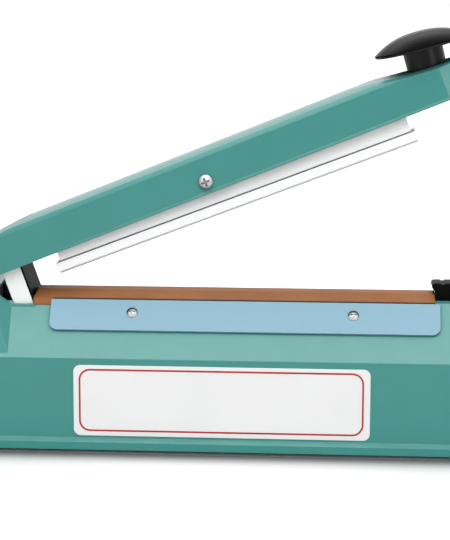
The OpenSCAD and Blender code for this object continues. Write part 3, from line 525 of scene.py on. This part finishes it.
def release_weave(name):
    mat, tree, bsdf = start_finish(name, 0.0, 0.12)
    weave = place_group(tree, WEAVE, Pitch=0.0011)
    shade = weave.outputs["Shade"]
    cloth = mix_colour(tree, ramp(tree, shade, -0.1, 1.1), (0.19, 0.064, 0.021), (0.35, 0.15, 0.055))
    cut = split_xyz(tree, coords(tree, "UV"))
    off_middle = math_node(tree, "ABSOLUTE", math_node(tree, "SUBTRACT", cut["Y"], CLOTH_MIDDLE))
    # painted shadow: a thin dark line along the plates' edges, where the cloth goes into the gap under them
    gap_shadow_fade = ramp(tree, off_middle, 0.0, 1.0, *(CLOTH_MIDDLE - v for v in GRIP_LINE))
    low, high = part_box("clamp_plate_front")
    beside = math_node(tree, "MULTIPLY", math_node(tree, "GREATER_THAN", cut["X"], low[0] + PLATE_INSET),
                       math_node(tree, "LESS_THAN", cut["X"], high[0] - PLATE_INSET))
    line = math_node(tree, "MULTIPLY", gap_shadow_fade, beside)
    dress(tree, bsdf, mix_colour(tree, line, cloth, (0.02, 0.022, 0.025)), ramp(tree, shade, 0.38, 0.58))
    bump(tree, bsdf, weave.outputs["Height"], 0.00005, 0.5)
    return mat


FINISH["copper_winding"] = wound_wire("copper_winding")
FINISH["red_lens"] = tinted_lens("red_lens")
FINISH["knob_black"] = handle_moulding("knob_black")
FINISH["brown_cloth"] = release_weave("brown_cloth")
for entry in frame["record"]["subparts"]:
    node = NODES[entry["node"]]
    if not node.material_slots:
        node.data.materials.append(FINISH[entry["material_slot"]])
    for place in node.material_slots:
        place.material = FINISH[entry["material_slot"]]
print("finishes:", len(FINISH), "on", len(NODES), "nodes")

# %% [markdown]
# ## Thin pieces
# The pieces that follow are meshes of their own. Each gets outward faces, a finish and the body
# that it rides on.

# %% Helpers for a mesh piece
def face_outwards(mesh, merge=0.0):
    bm = bmesh.new()
    bm.from_mesh(mesh)
    if merge:
        bmesh.ops.remove_doubles(bm, verts=bm.verts, dist=merge)
    bmesh.ops.recalc_face_normals(bm, faces=bm.faces)
    bm.to_mesh(mesh)
    bm.free()


def keep(name, mesh, body):
    obj = show(bpy.data.objects.new(name, mesh))
    if body:
        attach(obj, body)
    return obj


def new_piece(name, verts, faces, finish, body, slot):
    mesh = bpy.data.meshes.new(name)
    mesh.from_pydata([tuple(v) for v in verts], [], faces)
    face_outwards(mesh, 1e-7)
    mesh.materials.append(FINISH[finish])
    return keep(name, mesh, body)


def loops_to_solid(loops):
    """Closed skin through a list of equal loops, capped at both ends."""
    n, last = len(loops[0]), len(loops) - 1
    verts = [p for loop in loops for p in loop]
    faces = [(k * n + i, k * n + (i + 1) % n, (k + 1) * n + (i + 1) % n, (k + 1) * n + i)
             for k in range(last) for i in range(n)]
    return verts, faces + [tuple(range(n)), tuple(range(last * n, len(loops) * n))]


def as_mesh(holder):
    """The mesh that an object shows with its modifiers."""
    bpy.context.view_layer.update()
    return bpy.data.meshes.new_from_object(holder.evaluated_get(bpy.context.evaluated_depsgraph_get()))


print("piece helpers ready")

# %% [markdown]
# ## Label plate
# The front wall carries a white plate with rounded corners and a thin red line printed inside
# its edge. The wall leans back by about two degrees, so both are drawn flat in X and Z and then
# laid on the wall by a function that gives its depth at each height. The plate is left bare.

# %% A plate and a printed line on the leaning wall
WALL_LOW, WALL_HIGH = (-0.0376, 0.0077), (-0.0360, 0.0500)      # y and z
PLATE_BOX, PLATE_CORNER = (-0.0750, 0.0800, 0.0088, 0.0465), 0.0036     # x and z limits
LINE_BOX, LINE_CORNER, LINE_WIDTH = (-0.0722, 0.0767, 0.0112, 0.0446), 0.0059, 0.00095
PLATE_FACE, LINE_FACE = 0.00033, 0.00039        # heights above the wall


def on_wall(outline, lift):
    def wall_y(z):
        t = (z - WALL_LOW[1]) / (WALL_HIGH[1] - WALL_LOW[1])
        return WALL_LOW[0] + (WALL_HIGH[0] - WALL_LOW[0]) * t
    return [(x, wall_y(z) - lift, z) for x, z in outline]


def round_outline(box, corner, inset=0.0, steps=10):
    x0, x1, z0, z1 = box
    r, pts = corner - inset, []
    for cx, cz, a0 in ((x1 - corner, z1 - corner, 0), (x0 + corner, z1 - corner, 90),
                       (x0 + corner, z0 + corner, 180), (x1 - corner, z0 + corner, 270)):
        for i in range(steps + 1):
            a = math.radians(a0 + 90 * i / steps)
            pts.append((cx + r * math.cos(a), cz + r * math.sin(a)))
    return pts


def wall_plate():
    steps = ((0.00002, 0.0), (0.00022, 0.0), (0.00030, 0.00008), (PLATE_FACE, 0.0002))
    loops = [on_wall(round_outline(PLATE_BOX, PLATE_CORNER, inset), lift) for lift, inset in steps]
    return new_piece("label_plate", *loops_to_solid(loops), "label_white", "base", "scale_white")


def wall_frame():
    both = round_outline(LINE_BOX, LINE_CORNER) + round_outline(LINE_BOX, LINE_CORNER, LINE_WIDTH)
    n = len(both) // 2
    verts = on_wall(both, PLATE_FACE) + on_wall(both, LINE_FACE)
    faces = []
    for i in range(n):
        j = (i + 1) % n
        faces += [(i, j, n + j, n + i), (2 * n + i, 3 * n + i, 3 * n + j, 2 * n + j),
                  (i, 2 * n + i, 2 * n + j, j), (n + i, n + j, 3 * n + j, 3 * n + i)]
    return new_piece("label_frame", verts, faces, "label_red", "base", "red_button")


for piece in (wall_plate(), wall_frame()):
    print(piece.name, [round(v * 1000, 1) for v in piece.dimensions], "mm")

# %% [markdown]
# ## Release cloth
# The brown cloth lies over the heating ribbon, falls to the edges of the ridge and is gripped
# under the two blue plates. It is made as one sheet: a profile across the ridge, repeated along
# X, with the slight waves that a held cloth shows where nothing backs it. Its ends are cut a
# little aslant. Solidify gives the thickness.

# %% One stretched sheet
SEAL_TOP, RIDGE_Z, RIDGE_HALF = 0.0808, 0.0772, 0.0135
SLOPE = math.atan2(0.0272, 0.0225)
GRIP_DEPTH, GRIP_LIFT = 0.0042, 0.00018     # run down the slope, and gap to it
CLOTH_X0, CLOTH_X1, CLOTH_STEPS, CLOTH_THICK = -0.0980, 0.1136, 150, 0.00022
CROWN = ((0.0, 0.0), (0.002, 0.00001), (0.004, 0.00005), (0.0052, 0.0003), (0.0062, 0.0008))


def between(a, b, shares):
    return [tuple(p + (q - p) * t for p, q in zip(a, b)) for t in shares]


def cloth_profile():
    grip = (RIDGE_HALF + GRIP_DEPTH * math.cos(SLOPE) + GRIP_LIFT * math.sin(SLOPE),
            RIDGE_Z - GRIP_DEPTH * math.sin(SLOPE) + GRIP_LIFT * math.cos(SLOPE))
    edge = (RIDGE_HALF + 0.0002, RIDGE_Z + 0.00025)
    half = [(y, SEAL_TOP - drop) for y, drop in CROWN]
    half += between(half[-1], edge, (0.2, 0.4, 0.6, 0.8, 1.0)) + between(edge, grip, (0.33, 0.66, 1.0))
    return [(-y, z) for y, z in reversed(half[1:])] + half


def cloth_point(t, y, z):
    slant = 0.0014 * max(0.0, 1 - 12 * t) * min(1.0, abs(y) / RIDGE_HALF)
    x = CLOTH_X0 + (CLOTH_X1 - CLOTH_X0) * t - slant
    free = max(0.0, 1 - abs(abs(y) - 0.0098) / 0.0036)
    wave = 0.00016 * math.sin(61 * x + (2.1 if y > 0 else 0.0)) + 0.0001 * math.sin(173 * x + 1.3)
    return x, y + math.copysign(wave * free * 0.5, y), z - abs(wave) * free


def cloth_sheet():
    profile, run = cloth_profile(), [0.0]
    for a, b in zip(profile, profile[1:]):
        run.append(run[-1] + math.dist(a, b))
    verts = [cloth_point(i / CLOTH_STEPS, y, z) for i in range(CLOTH_STEPS + 1) for y, z in profile]
    n = len(profile)
    faces = [(i * n + k, (i + 1) * n + k, (i + 1) * n + k + 1, i * n + k + 1)
             for i in range(CLOTH_STEPS) for k in range(n - 1)]
    obj = new_piece("cloth_cover", verts, faces, "brown_cloth", "base", "brown_cloth")
    layer = obj.data.uv_layers.new(name="cut")
    for loop in obj.data.loops:
        layer.data[loop.index].uv = (verts[loop.vertex_index][0], run[loop.vertex_index % n])
    if sum(f.normal.z for f in obj.data.polygons) < 0:
        obj.data.flip_normals()
    for f in obj.data.polygons:
        f.use_smooth = True
    thick = obj.modifiers.new("thickness", "SOLIDIFY")
    thick.thickness = CLOTH_THICK
    thick.offset = -1.0
    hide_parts("release_cloth")
    return obj


cloth = cloth_sheet()
print("cloth:", [round(v * 1000, 1) for v in cloth.dimensions], "mm")

# %% [markdown]
# ## Things that repeat round a centre
# The timer's scale has a ring of long marks and one of short marks. Each is one small shape
# repeated on an arc, which is what Geometry Nodes do best: points get their angle from their
# index, the shape is placed on each and turned by the same angle.

# %% A tree that repeats a shape on an arc
ARC_INPUTS = {"Shape": "Object", "Count": "Int", "Radius": "Float", "Start": "Float", "Step": "Float",
              "Finish": "Material"}


def arc_repeat_tree():
    tree = bpy.data.node_groups.new("repeat_on_arc", "GeometryNodeTree")
    for label, kind in ARC_INPUTS.items():
        tree.interface.new_socket(label, in_out="INPUT", socket_type="NodeSocket" + kind)
    tree.interface.new_socket("Geometry", in_out="OUTPUT", socket_type="NodeSocketGeometry")
    add, link = tree.nodes.new, tree.links.new
    gin, gout = add("NodeGroupInput"), add("NodeGroupOutput")
    points, shape = add("GeometryNodePoints"), add("GeometryNodeObjectInfo")
    link(gin.outputs["Count"], points.inputs["Count"])
    link(gin.outputs["Shape"], shape.inputs["Object"])
    passed = math_node(tree, "MULTIPLY", add("GeometryNodeInputIndex").outputs[0], gin.outputs["Step"])
    angle = math_node(tree, "ADD", passed, gin.outputs["Start"])
    spot, turn = add("ShaderNodeCombineXYZ"), add("ShaderNodeCombineXYZ")
    for wave, axis in (("COSINE", "X"), ("SINE", "Y")):
        link(math_node(tree, "MULTIPLY", math_node(tree, wave, angle), gin.outputs["Radius"]), spot.inputs[axis])
    link(angle, turn.inputs["Z"])
    link(spot.outputs[0], points.inputs["Position"])
    place, real = add("GeometryNodeInstanceOnPoints"), add("GeometryNodeRealizeInstances")
    paint = add("GeometryNodeSetMaterial")
    link(points.outputs[0], place.inputs["Points"])
    link(shape.outputs["Geometry"], place.inputs["Instance"])
    link(turn.outputs[0], place.inputs["Rotation"])
    link(place.outputs[0], real.inputs[0])
    link(real.outputs[0], paint.inputs["Geometry"])
    link(gin.outputs["Finish"], paint.inputs["Material"])
    link(paint.outputs[0], gout.inputs[0])
    return tree


ARC = arc_repeat_tree()


def on_arc(name, shape_loops, count, radius, start, step, finish, matrix, body):
    verts, faces = loops_to_solid(shape_loops)
    source = bpy.data.meshes.new(name + "_one")
    source.from_pydata(verts, [], faces)
    one = show(bpy.data.objects.new(name + "_one", source))
    holder = show(bpy.data.objects.new(name + "_arc", bpy.data.meshes.new(name + "_arc")))
    mod = holder.modifiers.new("arc", "NODES")
    mod.node_group = ARC
    ids = {s.name: s.identifier for s in ARC.interface.items_tree if s.in_out == "INPUT"}
    for label, v in zip(ARC_INPUTS, (one, count, radius, start, step, FINISH[finish])):
        mod[ids[label]] = v
    mesh = as_mesh(holder)
    holder.modifiers.remove(mod)
    for o in (one, holder):
        bpy.data.objects.remove(o)
    mesh.transform(matrix)
    face_outwards(mesh)
    mesh.name = name
    print(name, "faces:", len(mesh.polygons))
    return keep(name, mesh, body)


print("tree:", ARC.name)

# %% [markdown]
# ### Marks and numbers round the dial
# The timer's plate has long and short marks over three quarters of a turn and plain numbers
# from 1 to 8. The ring is made flat round the origin, then turned to face +X at the end wall.

# %% Scale marks, numbers and the pointer line
QUARTER = math.radians(90)
DIAL = (Matrix.Translation((0.1532, 0, 0.036)) @ Matrix.Rotation(QUARTER, 4, "Y")
        @ Matrix.Rotation(2 * QUARTER, 4, "Z"))
DIAL_FACE = Matrix.Translation((0.0138, 0, 0)) @ DIAL
START, SWEEP = -0.75 * math.pi, 1.5 * math.pi
NUMBERS, SHORT_MARKS = 8, 36
NUMBER_RADIUS, NUMBER_SIZE, NUMBER_HALF_THICK = 0.0184, 0.0036, 0.00003


def flat_mark(length, half):
    corners = ((-length / 2, -half), (length / 2, -half), (length / 2, half), (-length / 2, half))
    return [[(x, y, z) for x, y in corners] for z in (0.00001, 0.00006)]


def scale_number(value, angle):
    text = bpy.data.curves.new("number", "FONT")
    text.body = str(value)
    text.size = NUMBER_SIZE
    text.align_x = "CENTER"
    text.align_y = "CENTER"
    text.extrude = NUMBER_HALF_THICK
    text.resolution_u = 4
    holder = show(bpy.data.objects.new("number", text))
    mesh = as_mesh(holder)
    bpy.data.objects.remove(holder)
    mesh.materials.clear()
    mesh.materials.append(FINISH["mark_black"])
    spot = Matrix.Translation((NUMBER_RADIUS * math.cos(angle), NUMBER_RADIUS * math.sin(angle), 0.00005))
    mesh.transform(DIAL @ spot @ Matrix.Rotation(-QUARTER, 4, "Z"))
    return keep(f"scale_number_{value}", mesh, "base")


on_arc("scale_long_marks", flat_mark(0.0022, 0.00022), NUMBERS, 0.0153, START, SWEEP / (NUMBERS - 1),
       "mark_black", DIAL, "base")
on_arc("scale_short_marks", flat_mark(0.0012, 0.00012), SHORT_MARKS, 0.0148, START, SWEEP / (SHORT_MARKS - 1),
       "mark_black", DIAL, "base")
numbers = [scale_number(NUMBERS - k, START + SWEEP * k / (NUMBERS - 1)) for k in range(NUMBERS)]
on_arc("dial_pointer", flat_mark(0.006, 0.0005), 1, 0.0065, 0.0, 0.0,
       "mark_white", DIAL_FACE, "dial")
print("numbers:", len(numbers))

# %% [markdown]
# ## Return spring
# The coil that lifts the arm is hooked to a pin in the base and to the tail of the arm, so its
# top follows the arm and its foot stays. The solid wire has six sides; here the same path is
# swept as a smooth round wire.

# %% A round wire on the coil's path
COIL_X, COIL_LOW, COIL_HIGH = -0.1300953, 0.0400, 0.0974576
COIL_RADIUS, COIL_TURNS, COIL_STEPS = 0.0039, 17, 20      # steps in one turn
HOOK_RADIUS, HOOK_STEPS, HOOK_LENGTH = 0.00295, 24, 0.0062
WIRE_RADIUS, WIRE_SIDES = 0.0006, 10


def hook(middle, start, turn):
    """An arc of 300 degrees round a pin, to one side or the other."""
    arc = [math.radians(start + turn * 300 * i / HOOK_STEPS) for i in range(HOOK_STEPS + 1)]
    return [(HOOK_RADIUS * math.cos(a), 0, middle + turn * HOOK_RADIUS * math.sin(a)) for a in arc]


def coil_path():
    z0, z1 = COIL_LOW + HOOK_LENGTH, COIL_HIGH - HOOK_LENGTH
    neck = HOOK_RADIUS + 0.0009
    pts = hook(COIL_LOW, 210, -1)
    pts += [(0, -0.0006, COIL_LOW + neck), (0, -0.0026, z0 - 0.0011)]
    for i in range(COIL_TURNS * COIL_STEPS + 1):
        t = i / (COIL_TURNS * COIL_STEPS)
        a = -math.pi / 2 + 2 * math.pi * COIL_TURNS * t
        pts.append((COIL_RADIUS * math.cos(a), COIL_RADIUS * math.sin(a), z0 + (z1 - z0) * t))
    pts += [(0, -0.0026, z1 + 0.0011), (0, -0.0006, COIL_HIGH - neck)]
    pts += hook(COIL_HIGH, -90, 1)
    return [Vector((x + COIL_X, y, z)) for x, y, z in pts]


def sweep(points, radius, sides):
    loops, carried = [], Vector((0, 1, 0))
    ring = [(math.cos(2 * math.pi * k / sides), math.sin(2 * math.pi * k / sides)) for k in range(sides)]
    for i, p in enumerate(points):
        along = (points[min(i + 1, len(points) - 1)] - points[max(i - 1, 0)]).normalized()
        carried = (carried - along * carried.dot(along)).normalized()
        across = along.cross(carried)
        loops.append([p + radius * (c * carried + s * across) for c, s in ring])
    return loops_to_solid(loops)


coil = new_piece("return_coil", *sweep(coil_path(), WIRE_RADIUS, WIRE_SIDES), "spring_steel", None, "spring_steel")
for f in coil.data.polygons:
    f.use_smooth = len(f.vertices) == 4
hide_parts("return_spring")
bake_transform(coil)
print("coil faces:", len(coil.data.polygons))

# %% [markdown]
# ## Floor and world
# The photograph has a white floor that runs into a white background. The world is white where
# the camera, mirrors or glass look at it and a softer grey as a light. The floor is paler to the
# camera and to mirrors than as a bounce, and fades to plain white for the camera far from the
# machine. Round the machine it keeps the shadow, and close to the foot a contact shading darkens
# it further: its paleness follows how much of the sky is open above each spot.

# %% Studio floor and world
FLOOR_HALF, FLOOR_BOUNCE, WORLD_LIGHT = 6, (0.6, 0.6, 0.6), 0.24
FADE_START, FADE_END, FADE_GLOW = 0.15, 0.6, 0.9
CONTACT_REACH = 0.04
CONTACT = ((0.0, 0.92), (0.12, 0.75), (0.35, 0.125), (0.56, 0.108), (0.605, 0.15), (0.64, 0.22),
           (0.69, 0.385), (0.744, 0.565), (0.79, 0.68), (0.84, 0.76), (0.92, 0.85), (1.0, 0.92))


def seen_by(tree, *kinds):
    """One for rays of any of these kinds."""
    path = tree.nodes.new("ShaderNodeLightPath")
    seen = path.outputs[f"Is {kinds[0]} Ray"]
    for kind in kinds[1:]:
        seen = math_node(tree, "MAXIMUM", seen, path.outputs[f"Is {kind} Ray"])
    return seen


def pale_floor():
    mat, tree, bsdf = start_finish("pale_floor", 0.0, 0.1)
    bsdf.inputs["Roughness"].default_value = 0.9
    bsdf.inputs["Emission Color"].default_value = (1, 1, 1, 1)
    blocked = tree.nodes.new("ShaderNodeAmbientOcclusion")
    blocked.inputs["Distance"].default_value = CONTACT_REACH
    blocked.samples = 64
    shown = curve(tree, blocked.outputs["AO"], CONTACT)
    colour = mix_colour(tree, seen_by(tree, "Camera", "Glossy"), FLOOR_BOUNCE, shown)
    tree.links.new(colour, bsdf.inputs["Base Color"])
    away = vector_node(tree, "LENGTH", coords(tree)).outputs["Value"]
    glow = math_node(tree, "MULTIPLY", ramp(tree, away, 0.0, FADE_GLOW, FADE_START, FADE_END),
                     seen_by(tree, "Camera"))
    tree.links.new(glow, bsdf.inputs["Emission Strength"])
    return mat


def studio():
    mesh = bpy.data.meshes.new("floor")
    corners = ((-1, -1), (1, -1), (1, 1), (-1, 1))
    mesh.from_pydata([(x * FLOOR_HALF, y * FLOOR_HALF, 0) for x, y in corners], [], [(0, 1, 2, 3)])
    mesh.materials.append(pale_floor())
    floor = show(bpy.data.objects.new("floor", mesh))
    world = bpy.data.worlds.new("white_room")
    bpy.context.scene.world = world
    world.use_nodes = True
    tree = world.node_tree
    back = tree.nodes["Background"]
    back.inputs["Color"].default_value = (1, 1, 1, 1)
    level = ramp(tree, seen_by(tree, "Camera", "Glossy", "Transmission"), WORLD_LIGHT, 1.0)
    tree.links.new(level, back.inputs["Strength"])


studio()
print("floor and world ready")

# %% [markdown]
# ## Lamps
# Most of the light comes from a broad panel above the front, so that the slopes are pale and the
# front walls deep. A panel straight overhead and one behind lift the tops, a thin strip draws the
# rounded edges, and two small panels at the sides shine on the handle's stem.

# %% Six soft panels
# place, target, size and watts
LAMPS = {
    "key": ((0.05, -0.75, 1.45), (0, 0, 0.08), (1.8, 0.8), 22),
    "top": ((0.0, 0.1, 1.6), (0, 0, 0.1), (1.8, 0.45), 6),
    "back": ((0.0, 1.0, 1.25), (0, 0, 0.15), (1.6, 0.7), 5),
    "strip": ((0.0, -1.5, 1.2), (0, 0, 0.15), (1.8, 0.2), 4.5),
    "right": ((1.1, -1.1, 0.35), (0.1, 0, 0.17), (0.4, 0.6), 3.4),
    "left": ((-1.0, -1.2, 0.35), (0.0, 0, 0.17), (0.4, 0.6), 2.6),
}
for name, (place, target, size, watts) in LAMPS.items():
    lamp = show(bpy.data.objects.new(name, bpy.data.lights.new(name, "AREA")))
    lamp.data.shape = "RECTANGLE"
    lamp.data.size, lamp.data.size_y = size
    lamp.data.energy = watts
    lamp.location = place
    lamp.rotation_euler = (Vector(target) - Vector(place)).to_track_quat("-Z", "Y").to_euler()
bpy.context.scene.view_settings.view_transform = "Standard"
print("lamps:", len(LAMPS))
